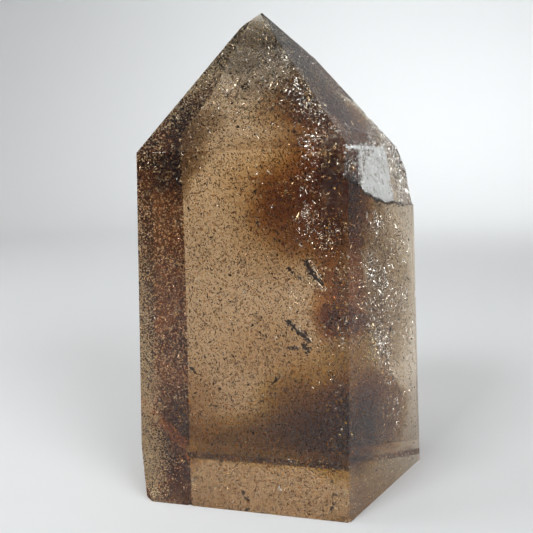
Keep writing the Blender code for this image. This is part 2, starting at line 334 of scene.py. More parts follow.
# %% Smoky glass
QUARTZ_IOR = 1.544
SMOKE_DENSITY = 100.0
SMOKE_TINT = colour(0.812, 0.618, 0.335)    # absorbs (1 - tint) times the density, for each metre

glass, tree, shader = new_material("smoky glass")
shader.inputs["Base Color"].default_value = colour(1.0, 1.0, 1.0)
shader.inputs["Transmission Weight"].default_value = 1.0
shader.inputs["IOR"].default_value = QUARTZ_IOR
smoke_and_shade = add_node(tree, "ShaderNodeVolumeAbsorption", Color=SMOKE_TINT, Density=SMOKE_DENSITY)
tree.links.new(smoke_and_shade.outputs["Volume"], tree.nodes["Material Output"].inputs["Volume"])
place = add_node(tree, "ShaderNodeTexCoord").outputs["Object"]
print("glass: index", QUARTZ_IOR, "and density", SMOKE_DENSITY)


# %% Masks on the glass, as node arithmetic
CHIP_LOW, CHIP_HIGH = 44.5, 58.8            # height of the chip
CHIP_FADE = 0.6                             # its frost fades out over this height
CHIP_DEPTH = 0.04, 0.30                     # depth inside the right face where the frost starts and is full
CHIP_DEEPEST = 3.2, 3.0                     # and where it ends again


def map_range(source, low, high, to_low=0.0, to_high=1.0):
    """source from low..high to to_low..to_high, held at the ends."""
    node = add_node(tree, "ShaderNodeMapRange", clamp=True)
    for key, value in zip(("From Min", "From Max", "To Min", "To Max"), (low, high, to_low, to_high)):
        node.inputs[key].default_value = value
    tree.links.new(source, node.inputs["Value"])
    return node.outputs["Result"]


def calculate(operation, first, second):
    """One step of arithmetic on two sockets or numbers."""
    node = add_node(tree, "ShaderNodeMath", operation=operation)
    for socket, value in zip(node.inputs, (first, second)):
        if isinstance(value, (int, float)):
            socket.default_value = value
        else:
            tree.links.new(value, socket)
    return node.outputs["Value"]


def product(first, *others):
    """The sockets and numbers multiplied."""
    for other in others:
        first = calculate("MULTIPLY", first, other)
    return first


def fade(source, low, high):
    """0 at low mm and 1 at high mm of the source, which is in metres."""
    return map_range(source, low * MM, high * MM)


def noise(vector, scale, detail, rough=0.5):
    """A noise read at the vector."""
    node = add_node(tree, "ShaderNodeTexNoise", Scale=scale, Detail=detail, Roughness=rough)
    tree.links.new(vector, node.inputs["Vector"])
    return node.outputs["Fac"]


along_normal = add_node(tree, "ShaderNodeVectorMath", operation="DOT_PRODUCT")
along_normal.inputs[1].default_value = right_normal
tree.links.new(place, along_normal.inputs[0])
depth = calculate("SUBTRACT", float(right_distance) * MM, along_normal.outputs["Value"])
parts = add_node(tree, "ShaderNodeSeparateXYZ")
tree.links.new(place, parts.inputs[0])
height, backwards = parts.outputs["Z"], parts.outputs["Y"]
chip = product(fade(depth, *CHIP_DEPTH), fade(depth, *CHIP_DEEPEST),
               fade(height, CHIP_HIGH, CHIP_HIGH - CHIP_FADE), fade(height, CHIP_LOW, CHIP_LOW + CHIP_FADE))
print("mask nodes:", len(tree.nodes))

# %% Roughness of the faces, the chip and the ground bevel
FACE_ROUGHNESS, FILM_ROUGHNESS = 0.012, 0.06
FILM_STARTS, FILM_FULL = 0.5, 0.75          # the noise at which the film of dirt starts and is full
CHIP_ROUGHNESS = 0.25, 0.30
FROST_RANGE = 0.35, 0.65
BEVEL_TOP, BEVEL_FRONT = 1.7, 11.9          # the ground bevel along the back bottom edge, in height and depth
BEVEL_FADE = 0.3
GROUND_ROUGHNESS = 0.45

frost = noise(place, 900.0, 4.0, 0.65)
frosted = product(chip, map_range(frost, *FROST_RANGE, *CHIP_ROUGHNESS))
soiled = map_range(noise(place, 220.0, 6.0, 0.7), FILM_STARTS, FILM_FULL, FACE_ROUGHNESS, FILM_ROUGHNESS)
ground = product(fade(height, BEVEL_TOP, BEVEL_TOP - BEVEL_FADE),
                 fade(backwards, BEVEL_FRONT, BEVEL_FRONT + BEVEL_FADE), GROUND_ROUGHNESS)
rough = calculate("MAXIMUM", calculate("MAXIMUM", frosted, soiled), ground)
tree.links.new(rough, shader.inputs["Roughness"])
print("roughness from", FACE_ROUGHNESS, "to", GROUND_ROUGHNESS)

# %% Fine relief on the glass
UPRIGHT_LINES = (1900.0, 1900.0, 60.0)      # noise stretched along the height, waves per metre
LINES_HEIGHT = 26.0, 4.0                    # the upright lines start below the first, full at the second
LINES_DEPTH = 0.3, 0.0
LINES_SHARE, WAVE_SHARE, CHIP_SHARE = 4.5, 0.6, 6.0
RELIEF = 0.01                               # height of the fine relief

stretch = add_node(tree, "ShaderNodeMapping", Scale=UPRIGHT_LINES)
tree.links.new(place, stretch.inputs["Vector"])
low_right = product(fade(depth, *LINES_DEPTH), fade(height, *LINES_HEIGHT))
lines = product(noise(stretch.outputs["Vector"], 1.0, 3.0, 0.55), low_right, LINES_SHARE)
waves = product(noise(place, 90.0, 2.0), WAVE_SHARE)
splinters = product(chip, frost, CHIP_SHARE)
relief = calculate("ADD", lines, calculate("ADD", waves, splinters))
bump = add_node(tree, "ShaderNodeBump", Strength=1.0, Distance=RELIEF * MM)
tree.links.new(relief, bump.inputs["Height"])
tree.links.new(bump.outputs["Normal"], shader.inputs["Normal"])

quartz.data.materials.clear()
quartz.data.materials.append(glass)
print("glass nodes:", len(tree.nodes))


# %% [markdown]
# ## Small closed bodies
# Everything inside the crystal is made from one kind of surface: rings of points round an axis, with a pole
# at each end. With one ring it is a sharp little grain of eight to twelve faces, and with many rings it is a
# crack or a cloud. The first function gives its triangles, which always face out. The second gives a unit
# grain, and the last one a whole crowd of grains at once.

# %% Rings with a pole at each end
def ring_triangles(rings, around):
    """Triangles over a first pole, rings of points and a last pole, numbered in that order."""
    step = np.arange(around)
    after = (step + 1) % around
    start = 1 + np.arange(rings - 1)[:, None] * around
    first = np.stack([np.zeros(around, int), 1 + step, 1 + after], axis=1)
    left = np.stack([start + step, start + around + step, start + around + after], axis=2).reshape(-1, 3)
    right = np.stack([start + step, start + around + after, start + after], axis=2).reshape(-1, 3)
    end = 1 + rings * around
    last = np.stack([np.full(around, end), end - around + after, end - around + step], axis=1)
    return np.concatenate([first, left, right, last])


def unit_grain(rings, around):
    """Points at t down the X axis and u round it: x = cos t, y = sin t cos u, z = sin t sin u."""
    t = math.pi * np.arange(1, rings + 1)[:, None] / (rings + 1)
    u = 2 * math.pi * np.arange(around)[None, :] / around
    body = np.stack([np.cos(t) + 0 * u, np.sin(t) * np.cos(u), np.sin(t) * np.sin(u)], axis=2).reshape(-1, 3)
    return np.concatenate([[[1.0, 0.0, 0.0]], body, [[-1.0, 0.0, 0.0]]])


def turned_frames(axes, draw):
    """For each axis, three unit columns: the axis, and two across it at a random spin."""
    x = axes / np.linalg.norm(axes, axis=1)[:, None]
    y = np.cross(draw.normal(size=x.shape), x)
    y /= np.linalg.norm(y, axis=1)[:, None]
    return np.stack([x, y, np.cross(x, y)], axis=2)


def grains(places, axes, sizes, draw, rings=1, around=5, knobs=0.25):
    """A grain at each place: the unit grain times its size, roughened, turned along its axis and moved."""
    unit = unit_grain(rings, around)
    rough = 1.0 + knobs * draw.uniform(-1.0, 1.0, (len(places), len(unit), 1))
    body = unit[None] * sizes[:, None, :] * rough
    body = np.einsum("npj,nij->npi", body, turned_frames(axes, draw)) + places[:, None, :]
    numbers = ring_triangles(rings, around)[None] + len(unit) * np.arange(len(places))[:, None, None]
    return body.reshape(-1, 3), numbers.reshape(-1, 3)


# %% [markdown]
# ## Chance, kept in hand
# Nature's grain sizes follow a log-normal spread, which gives many fine grains and a few coarse ones. Three
# small helpers draw such sizes, columns of even random numbers, and directions round a given one. Each piece
# starts its own generator from a fixed seed, so that the crystal comes out the same every time.

# %% Random sizes and directions
def log_normal(usual, spread, size, draw):
    """Numbers of usual times e to the power of spread times a normal number."""
    return usual * np.exp(spread * draw.normal(size=size))


def even_columns(ranges, count, draw):
    """A column of even random numbers for each range of low and high."""
    return np.stack([draw.uniform(low, high, count) for low, high in ranges], axis=1)


def leaning(way, spread, count, draw):
    """count directions round the way: the way plus spread times a normal vector."""
    return way + spread * draw.normal(size=(count, 3))


# %% [markdown]
# ## Staying inside the crystal
# A grain that pokes through a face would spoil it, so every place is tested against the flat faces read
# above: a point is inside when it lies a margin behind all of them. The chip is the one hollow. It gets
# deeper towards the back, so a slanted plane stands for it over its height.

# %% Inside test
EDGE_CORNER = np.array([13.14, -13.13, 0.0])            # bottom of the front right edge
CHIP_DEEPENS = 0.115                                    # mm of depth for each mm along
CHIP_NEAR_DEPTH = 0.45
MARGIN = 0.35
POINT_STARTS = -15.0, -10.0                             # the crystal's point lies right of and behind these
TRIES, POINT_TRIES = 4, 16                              # random points drawn for each one that is wanted
TEST_POINTS = 9999


def inside(points, margin):
    """True for each point that lies more than margin behind every face and behind the chip."""
    behind = face_distances[None, :] - points @ face_directions.T
    within = behind.min(axis=1) > margin
    along = (points - EDGE_CORNER) @ ALONG_RIGHT
    under_chip = right_distance - points @ right_normal > CHIP_NEAR_DEPTH + CHIP_DEEPENS * along + margin
    beside = (points[:, 2] < CHIP_LOW) | (points[:, 2] > CHIP_HIGH)
    return within & (beside | under_chip)


def anywhere(count, margin, draw, lowest=crystal_box[0], tries=TRIES):
    """count random points spread evenly through the crystal, or through its part beyond the lowest corner."""
    found = draw.uniform(lowest, crystal_box[1], (count * tries, 3))
    return found[inside(found, margin)][:count]


def in_point(count, margin, lowest_height, draw):
    """Up to count random points spread evenly through the crystal's point, above a height."""
    return anywhere(count, margin, draw, (*POINT_STARTS, lowest_height), POINT_TRIES)


check = np.random.default_rng(1).uniform(*crystal_box, (TEST_POINTS, 3))
print("share of the box inside:", round(float(inside(check, 0.0).mean()), 3))

# %% [markdown]
# ## Dark specks
# The field of the crystal is full of fine dark brown mineral specks, most of them as fine as dust, some of
# them in loose clumps, and some of them little dashes that lean the same way. Particles would be dropped by
# an export, so the specks are one joined mesh: each is a ten-sided grain, and all of them are computed at
# once. Those in front are a little larger, because they are the ones told apart one by one.

# %% Dark specks and dashes
SPECKS = 6600
# extra dark specks in the point, above a height: painted shade that darkens it
TIP_SHADE_SPECKS = 1600
TIP_SHADE_SPECKS_FROM = 55.0
CLUMPS = 420
CLUMP_SPECKS = 8            # specks in a clump, on average
CLUMP_MARGIN = 1.0
CLUMP_REACH = 0.8
SPECK_HALF = 0.085          # usual half length
SIZE_SPREAD = 0.42
SPECK_SHAPE = (1.0, 2.0), (0.55, 1.0), (0.4, 0.9)
SPECK_LEAN = 0.8
FRONT_LAYER = -5.0          # specks in front of this are larger, those behind it smaller
FRONT_AND_BACK = 1.05, 0.9
DASHES = 5400
DASH_MARGIN = 0.8
DASH_HALF = 0.24
DASH_THICKNESS = (0.045, 0.085), (0.04, 0.075)
DASH_WAY = np.array([0.36, 0.05, -0.93])
DASH_LEAN = 0.55

draw = np.random.default_rng(20)
clump_sizes = draw.poisson(CLUMP_SPECKS, CLUMPS)
clumped = np.repeat(anywhere(CLUMPS, CLUMP_MARGIN, draw), clump_sizes, axis=0)
clumped = clumped + CLUMP_REACH * draw.normal(size=clumped.shape)
tip_shade_specks = in_point(TIP_SHADE_SPECKS, MARGIN, TIP_SHADE_SPECKS_FROM, draw)
speck_places = np.concatenate([anywhere(SPECKS, MARGIN, draw), clumped[inside(clumped, MARGIN)], tip_shade_specks])
speck_half = log_normal(SPECK_HALF, SIZE_SPREAD, len(speck_places), draw)
speck_half = speck_half * np.where(speck_places[:, 1] < FRONT_LAYER, *FRONT_AND_BACK)
speck_sizes = speck_half[:, None] * even_columns(SPECK_SHAPE, len(speck_half), draw)
speck_axes = leaning(DASH_WAY, SPECK_LEAN, len(speck_places), draw)

dash_places = anywhere(DASHES, DASH_MARGIN, draw)
dash_half = log_normal(DASH_HALF, SIZE_SPREAD, len(dash_places), draw)
dash_sizes = np.column_stack([dash_half, even_columns(DASH_THICKNESS, len(dash_half), draw)])
dash_axes = leaning(DASH_WAY, DASH_LEAN, len(dash_places), draw)

# the dark finish: the specks' own colour, and on the dark cracks a painted reflection of the dim surroundings
dark = mottled("dark mineral and painted reflection", (0.010, 0.006, 0.003), (0.09, 0.048, 0.022), 500.0, 0.55, specular=0.15)
make_piece("dark_specks", *grains(np.concatenate([speck_places, dash_places]),
                                  np.concatenate([speck_axes, dash_axes]),
                                  np.concatenate([speck_sizes, dash_sizes]), draw), dark)

# %% [markdown]
# ## Dust
# Between the dark specks floats a haze of dust. It does more than add grain: where the faces throw a ray to
# and fro and the clear glass alone would go black, the dust stands in the way and glows brown. It is strewn
# evenly, with more of it towards the tip and behind the right face as painted shade that greys them, and
# split into a front, a middle and a back piece so that no mesh gets too heavy. A golden dust behind the left
# faces is painted light that lifts them.

# %% Where the dust lies
DUST = 36000
# extra dust in the point: painted shade that greys it
TIP_SHADE_DUST = 9000
TIP_SHADE_DUST_FROM = 56.0
TIP_SHADE_DUST_THINS = 54.0, 74.0     # from hardly any dust at the first height to all of it at the second
TIP_MARGIN = 0.2
DUST_HALF = 0.092
DUST_SPREAD = 0.4
DUST_SHAPE = 0.6, 1.3
DUST_MARGIN = 1.8
RIGHT_DEPTH = 5.0               # the dust behind the right face, painted shade, thins out over this depth
LEFT_LIGHT_DUST = 504000              # tries for the golden dust, painted light, of which those near the left faces stay
MOST_LEFT_LIGHT_DUST = 14000
LEFT_DEPTH = 5.0                # the golden dust, painted light, thins out over this depth
LEFT_LOOKS = ((-0.906, -0.42, 0.0), (-0.6, -0.3, 0.74))     # the upright left face, and the end face over it

draw = np.random.default_rng(21)
even = anywhere(DUST, DUST_MARGIN, draw)
more = anywhere(DUST, MARGIN, draw)
right_face_shade_dust = right_distance - more @ right_normal < draw.uniform(0.0, RIGHT_DEPTH, len(more))
tip_shade_dust = in_point(TIP_SHADE_DUST, TIP_MARGIN, TIP_SHADE_DUST_FROM, draw)
tip_shade_dust = tip_shade_dust[tip_shade_dust[:, 2] > draw.uniform(*TIP_SHADE_DUST_THINS, len(tip_shade_dust))]
dust_places = np.concatenate([even, more[right_face_shade_dust], tip_shade_dust])
dust_half = log_normal(DUST_HALF, DUST_SPREAD, len(dust_places), draw)
dust_sizes = dust_half[:, None] * draw.uniform(*DUST_SHAPE, (len(dust_half), 3))

left_faces = [face_towards(looks) for looks in LEFT_LOOKS]
golden_light_places = anywhere(LEFT_LIGHT_DUST, MARGIN, draw)
golden_depth = (face_distances[left_faces] - golden_light_places @ face_directions[left_faces].T).min(axis=1)
near_left = golden_depth < draw.uniform(0.0, LEFT_DEPTH, len(golden_light_places))
golden_light_places = golden_light_places[near_left][:MOST_LEFT_LIGHT_DUST]
golden_light_sizes = log_normal(DUST_HALF, DUST_SPREAD, (len(golden_light_places), 3), draw)
print("left faces:", np.round(face_directions[left_faces], 3).tolist(), "golden grains:", len(golden_light_places))

# %% [markdown]
# In the cloud and in the zone of painted shade over the base the dust is brown. A pale grain there would lift
# the dark to grey, and a brown one gives it its warm colour. The zones are ellipsoids, and chance blurs their
# rims. Elsewhere the front and middle pieces take the golden finish, and only the back one is pale.

# %% Brown, golden and pale dust; the brown is partly painted shade, the golden partly painted light
DUST_LAYERS = ("front", "middle", "back")
DUST_ROUGHNESS = 0.6
DUST_WAVES = 300.0
# the zones, middle and half sizes: the first two are painted shade over the base, the last two the brown
# cloud
BROWN_AND_SHADE_ZONES = (((0.5, -7.5, 10.5), (19.0, 6.5, 7.5)),
               ((9.0, -7.0, 13.5), (10.0, 6.5, 12.0)),
               ((10.5, -7.0, 30.0), (5.0, 5.5, 7.0)),
               ((8.0, -6.5, 47.5), (9.5, 6.5, 12.0)))
ZONE_RIM = 0.45, 1.25           # a zone ends by chance between these, as squares of its own size


def in_zones(points, zones, draw):
    """True for a point inside one of the ellipsoids; the rim of each is blurred by chance."""
    reach = [np.sum(((points - middle) / half) ** 2, axis=1) for middle, half in np.array(zones)]
    return np.min(reach, axis=0) < draw.uniform(*ZONE_RIM, len(points))


def dust_piece(name, places, sizes, finish):
    """Eight-sided grains at the places, each turned at random."""
    axes = draw.normal(size=places.shape)
    make_piece(name, *grains(places, axes, sizes, draw, around=4), finish)


pale = mottled("pale dust", (0.88, 0.72, 0.55), (0.98, 0.92, 0.82), DUST_WAVES, DUST_ROUGHNESS)
golden = mottled("golden dust and painted light", (0.72, 0.58, 0.36), (0.97, 0.88, 0.64), DUST_WAVES, DUST_ROUGHNESS)
brown = mottled("brown dust and painted shade", (0.34, 0.16, 0.03), (0.70, 0.38, 0.09), DUST_WAVES, DUST_ROUGHNESS)

# over the base the brown dust is painted shade; in the cloud it is the crystal's own brown
in_brown_and_shade_zones = in_zones(dust_places, BROWN_AND_SHADE_ZONES, draw)
dust_piece("brown_dust_and_painted_shade", dust_places[in_brown_and_shade_zones], dust_sizes[in_brown_and_shade_zones], brown)
dust_places, dust_sizes = dust_places[~in_brown_and_shade_zones], dust_sizes[~in_brown_and_shade_zones]
layers = np.array_split(np.argsort(dust_places[:, 1]), len(DUST_LAYERS))
for layer, chosen, finish in zip(DUST_LAYERS, layers, (golden, golden, pale)):
    dust_piece(f"pale_dust_{layer}", dust_places[chosen], dust_sizes[chosen], finish)
# golden grains behind the left faces: painted light
dust_piece("golden_dust_painted_light", golden_light_places, golden_light_sizes, golden)

# %% [markdown]
# ## Silvery veils
# A healed crack in quartz is a curved sheet of tiny gaps. Each gap mirrors the room, so the sheet glitters.
# Here the sheet is a surface of two parameters: s runs down a bent middle line from the tip, and t runs
# across it. Clusters of thin mirror flakes are strewn on it, and single ones between them.

# %% A bent sheet of gaps
VEIL_LINE = np.array([(3.6, 1.5, 69.5), (6.0, 0.0, 65.5), (7.6, -2.2, 61.5), (8.8, -5.6, 57.5),
                      (9.8, -6.0, 53.5), (9.4, -6.2, 49.0), (8.8, -5.8, 44.5), (10.2, -6.0, 40.5),
                      (10.8, -6.0, 34.0), (12.0, -6.6, 26.5), (12.2, -7.4, 17.0)])
VEIL_ACROSS = np.array([0.88, 0.47, 0.0])
VEIL_OUT = np.array([0.47, -0.88, 0.0])
VEIL_HALF_WIDTH = 4.2
VEIL_FORWARD = 1.6
VEIL_CLUSTERS = 56
CLUSTER_FLAKES = 22
CLUSTER_REACH = 0.25, 0.95
CLUSTER_FLATNESS = 1, 0.5, 1
SINGLE_FLAKES = 1300
SINGLE_WIDTH = 1.3
SINGLE_REACH = 0.6


def on_veil(s, t):
    """Point at s (0 at the tip, 1 at the foot) down the middle line, and t (-1 to 1) across the sheet. It
    bulges out by 0.9 sin(7 s + 2 t) + 0.5 sin(17 s - 3 t)."""
    steps = np.linspace(0.0, 1.0, len(VEIL_LINE))
    middle = np.stack([np.interp(s, steps, VEIL_LINE[:, k]) for k in range(3)], axis=1)
    bulge = 0.9 * np.sin(7.0 * s + 2.0 * t) + 0.5 * np.sin(17.0 * s - 3.0 * t)
    return middle + (t * VEIL_HALF_WIDTH)[:, None] * VEIL_ACROSS + (bulge + VEIL_FORWARD)[:, None] * VEIL_OUT


draw = np.random.default_rng(22)
cluster_s = draw.beta(1.1, 1.9, VEIL_CLUSTERS)
cluster_middles = on_veil(cluster_s, draw.uniform(-1.0, 1.0, VEIL_CLUSTERS))
members = draw.poisson(CLUSTER_FLAKES, VEIL_CLUSTERS)
cluster_reach = np.repeat(draw.uniform(*CLUSTER_REACH, VEIL_CLUSTERS), members)[:, None]
strewn = cluster_reach * draw.normal(size=(members.sum(), 3)) * CLUSTER_FLATNESS
veil_places = np.repeat(cluster_middles, members, axis=0) + strewn
single_s = draw.beta(1.0, 1.6, SINGLE_FLAKES)
single_places = on_veil(single_s, draw.uniform(-SINGLE_WIDTH, SINGLE_WIDTH, SINGLE_FLAKES))
single_places = single_places + SINGLE_REACH * draw.normal(size=single_places.shape)
print("flakes on the veil:", len(veil_places), "in clusters and", len(single_places), "single")

# %% [markdown]
# Away from the veil the flakes lie in small groups, each a ball of random points round a middle. A thin
# flake only flashes when it mirrors a panel to the camera, so each flake leans towards the direction halfway
# between the two, as light runs inside the quartz. Where that leaning is loose, only a few of them flash.

# %% Groups of flakes
# behind the right face: middle, reach and number
RIGHT_GROUPS = (((14.5, -1.0, 42.0), 0.9, 110), ((15.1, 1.6, 33.8), 1.6, 300), ((13.5, -2.9, 37.0), 1.1, 130),
                ((17.7, 5.8, 30.1), 1.4, 170), ((14.6, 0.4, 24.0), 1.6, 560), ((15.9, 2.4, 18.6), 1.6, 170),
                ((17.5, 3.2, 12.0), 2.4, 180), ((15.2, -2.4, 44.8), 0.8, 110), ((16.5, 2.0, 44.0), 1.8, 200),
                ((14.6, -1.5, 28.5), 2.2, 200), ((18.0, 5.0, 38.5), 2.0, 260), ((16.4, 2.0, 30.5), 3.2, 420),
                ((19.2, 8.0, 24.0), 2.4, 200), ((13.8, -4.4, 33.0), 1.8, 160))
# near the tip, and in the big middle cluster under it
TIP_GROUPS = (((5.6, -1.0, 62.8), 0.8, 110), ((6.8, -2.3, 61.2), 0.6, 90), ((7.4, -6.4, 58.4), 0.9, 110),
              ((8.8, -6.0, 54.6), 1.0, 80), ((6.3, -5.4, 49.2), 1.0, 70), ((3.7, -5.4, 47.9), 0.8, 60),
              ((7.4, -5.6, 44.4), 0.8, 60), ((9.2, -5.6, 41.3), 0.6, 40), ((0.4, 1.2, 69.6), 0.9, 60),
              ((2.8, 3.0, 67.5), 1.1, 80), ((11.6, -7.0, 25.8), 0.7, 50), ((11.0, -9.2, 51.0), 1.0, 60),
              ((11.3, -9.0, 47.0), 1.0, 60), ((10.9, -8.8, 43.0), 1.0, 50), ((-1.0, -0.5, 67.5), 1.4, 90),
              ((1.5, -2.0, 64.5), 1.6, 110))
NEARER = 3.0 * np.array([0.47, -0.88, 0.07])        # towards the viewer, as light runs inside the crystal
ANYWHERE_FLAKES = 3600
TOP_FLAKES = 5200
TOP_FROM = 54.0
TOP_THINS = 54.0, 72.0
END_FLAKES = 1800
END_CORNER = 0.0, -13.0, 52.0
END_DEPTH = 1.8
RIGHT_END_LOOKS = np.array([0.66, -0.38, 0.65])


def groups(table, draw):
    """Random places round each middle in the table, within its reach."""
    numbers = [number for middle, reach, number in table]
    middles = np.repeat([middle for middle, reach, number in table], numbers, axis=0)
    reaches = np.repeat([reach for middle, reach, number in table], numbers)
    return middles + reaches[:, None] * draw.normal(size=middles.shape)


veil_flakes = np.concatenate([veil_places, single_places, groups(TIP_GROUPS, draw)])
right_flakes = groups(RIGHT_GROUPS, draw) + NEARER
loose_flakes = anywhere(ANYWHERE_FLAKES, MARGIN, draw)
top_flakes = in_point(TOP_FLAKES, TIP_MARGIN, TOP_FROM, draw)
top_flakes = top_flakes[top_flakes[:, 2] > draw.uniform(*TOP_THINS, len(top_flakes))]
end_face = face_towards(RIGHT_END_LOOKS)
end_flakes = anywhere(END_FLAKES, TIP_MARGIN, draw, END_CORNER, POINT_TRIES)
end_flakes = end_flakes[face_distances[end_face] - end_flakes @ face_directions[end_face] < END_DEPTH]
print("flakes near the top and the right end face:", len(top_flakes), len(end_flakes))

# %% Flakes turned to flash
MIRROR_LEAN = np.array([-0.125, -0.965, 0.230])     # a flake that looks this way mirrors the key panel
RIGHT_LEAN = np.array([0.635, -0.744, 0.208])       # and behind the right face this way mirrors the fill
MIRROR_SPREAD = 0.20
LOOSE_SPREAD = 0.45
FLAKE_MARGIN = 0.4
FLAKE_HALF, FLAKE_HALF_SPREAD, LARGEST_FLAKE = 0.095, 0.5, 0.24
FLAKE_THICKNESS = 0.16                              # as a share of its half width
FLAKE_SHAPE = (0.8, 2.2), (0.25, 0.6)
NEAR_TIP, NEAR_TIP_LARGER = 58.0, 1.3               # larger above this height
FACES_RIGHT, RIGHT_LARGER = 0.7, 1.4                # and longer behind the right face

flake_looks = np.concatenate([leaning(MIRROR_LEAN, MIRROR_SPREAD, len(veil_flakes), draw),
                              leaning(RIGHT_LEAN, MIRROR_SPREAD, len(right_flakes), draw),
                              leaning(MIRROR_LEAN, LOOSE_SPREAD, len(loose_flakes), draw),
                              leaning(MIRROR_LEAN, LOOSE_SPREAD, len(top_flakes), draw),
                              leaning(face_directions[end_face], LOOSE_SPREAD, len(end_flakes), draw)])
flake_places = np.concatenate([veil_flakes, right_flakes, loose_flakes, top_flakes, end_flakes])
within = inside(flake_places, FLAKE_MARGIN)
flake_places, flake_looks = flake_places[within], flake_looks[within]
flake_half = np.minimum(log_normal(FLAKE_HALF, FLAKE_HALF_SPREAD, len(flake_places), draw), LARGEST_FLAKE)
flake_half = flake_half * np.where(flake_places[:, 2] > NEAR_TIP, NEAR_TIP_LARGER, 1.0)
flake_half = flake_half * np.where(flake_looks @ right_normal > FACES_RIGHT, RIGHT_LARGER, 1.0)
flake_shape = np.column_stack([np.full(len(flake_half), FLAKE_THICKNESS),
                               even_columns(FLAKE_SHAPE, len(flake_half), draw)])

silver = mottled("silvery gap", (0.80, 0.76, 0.70), (1.0, 0.99, 0.97), 700.0, 0.22, metallic=1.0)
make_piece("silvery_flakes", *grains(flake_places, flake_looks, flake_half[:, None] * flake_shape, draw,
                                     around=6, knobs=0.3), silver)


# %% [markdown]
# ## Cracks
# The larger cracks can be told apart one by one: dark tears with bright rims in the middle of the front,
# thin dark curls, and bright streaks in the point and behind the right face. The dark of the tears and curls
# is a painted reflection of the dim surroundings. Each is a long thin lens: an ellipse carried along a bowed
# path, which swells from a point to its full width and back. A lens alone looks cut out, so a crowd of crumbs
# along it gives it a torn outline.

# %% One crack as a thin lens along a path
CRACK_RINGS = 22
CRACK_AROUND = 8
RAGGED = 0.18               # the width of a crack varies by this share
TOWARDS_VIEWER = np.array([0.2, -0.95, 0.1])


def crack(start, end, width, thickness, bow=0.0, phase=0.0):
    """Ring i: the middle lies at s along start to end, pushed aside by bow sin(pi s) and a small ripple. Its
    ellipse is width sin(pi s)^0.7 by thickness sin(pi s) wide, and the width varies by the ragged share."""
    start, end = np.array(start, float), np.array(end, float)
    s = np.arange(1, CRACK_RINGS + 1) / (CRACK_RINGS + 1)
    length = np.linalg.norm(end - start)
    ahead = (end - start) / length
    side = np.cross(ahead, TOWARDS_VIEWER)
    side /= np.linalg.norm(side)
    out = np.cross(side, ahead)
    ripple = 0.02 * length * np.sin(11.0 * s + phase) + 0.012 * length * np.sin(29.0 * s)
    middle = start + s[:, None] * (end - start) + (bow * np.sin(math.pi * s) + ripple)[:, None] * side
    torn = 1 + RAGGED * np.sin(17.0 * s + phase) * np.cos(41.0 * s)
    half_width = width / 2 * np.sin(math.pi * s) ** 0.7 * torn
    half_thick = thickness / 2 * np.sin(math.pi * s)
    u = 2 * math.pi * np.arange(CRACK_AROUND) / CRACK_AROUND
    rings = (middle[:, None, :] + (half_width[:, None] * np.cos(u))[:, :, None] * side
             + (half_thick[:, None] * np.sin(u))[:, :, None] * out)
    points = np.concatenate([[start], rings.reshape(-1, 3), [end]])
    return points, ring_triangles(CRACK_RINGS, CRACK_AROUND)


def crumbs(table, looks, spread, density, half, draw):
    """Flakes along every crack: s from start to end, and t across it, drawn close to the middle line and
    scaled by width sin(pi s)^0.6. There are density of them for each square millimetre."""
    starts, ends = (np.array([row[k] for row in table], float) for k in (0, 1))
    widths = np.array([row[2] for row in table])
    lengths = np.linalg.norm(ends - starts, axis=1)
    number = np.ceil(density * lengths * np.maximum(widths, half * 2)).astype(int)
    start, way, width = (np.repeat(values, number, axis=0) for values in (starts, ends - starts, widths))
    side = np.cross(way, TOWARDS_VIEWER)
    side /= np.linalg.norm(side, axis=1)[:, None]
    s = draw.uniform(0.0, 1.0, len(start))
    t = 0.34 * draw.normal(size=len(start)) * width * np.sin(math.pi * s) ** 0.6
    places = start + s[:, None] * way + t[:, None] * side + 0.12 * draw.normal(size=start.shape)
    sizes = log_normal(half, 0.4, len(start), draw)[:, None] * (0.18, 1.3, 0.8)
    return grains(places, leaning(looks, spread, len(start), draw), sizes, draw, around=6, knobs=0.3)


def joined(parts):
    """Several (points, triangles) pairs as one pair."""
    offsets = np.cumsum([0] + [len(points) for points, _ in parts[:-1]])
    return (np.concatenate([points for points, _ in parts]),
            np.concatenate([triangles + offset for (_, triangles), offset in zip(parts, offsets)]))


# %% Dark tears with a painted dark reflection, and bright streaks
# the dark tears and curls take a painted dark reflection
# start, end, width, thickness, bow
CRACKS_PAINTED_DARK = (((6.3, -5.6, 37.7), (8.9, -5.7, 33.8), 1.35, 0.12, 0.1),
               ((3.6, -6.8, 37.0), (6.4, -6.8, 34.6), 0.16, 0.08, -0.45),
               ((3.6, -7.0, 28.9), (7.2, -7.1, 25.8), 0.85, 0.12, 0.15),
               ((5.8, -7.2, 25.6), (7.0, -7.2, 24.2), 1.1, 0.3, 0.0),
               ((3.7, -7.2, 24.9), (5.4, -7.2, 24.7), 0.45, 0.15, 0.0),
               ((1.2, -9.4, 19.4), (2.7, -9.3, 20.7), 0.28, 0.12, 0.1),
               ((-8.1, -9.5, 15.8), (-7.2, -9.5, 15.5), 0.3, 0.15, 0.0),
               ((-3.5, -10.0, 2.3), (-3.1, -10.0, 1.7), 0.3, 0.15, 0.0),
               ((-2.9, -10.0, 1.2), (-2.6, -10.0, 0.7), 0.28, 0.15, 0.0),
               ((-4.0, -1.7, 62.4), (-2.1, -1.9, 62.0), 0.55, 0.15, 0.1),
               ((1.2, -2.8, 61.9), (2.3, -2.9, 61.4), 0.3, 0.1, 0.0))
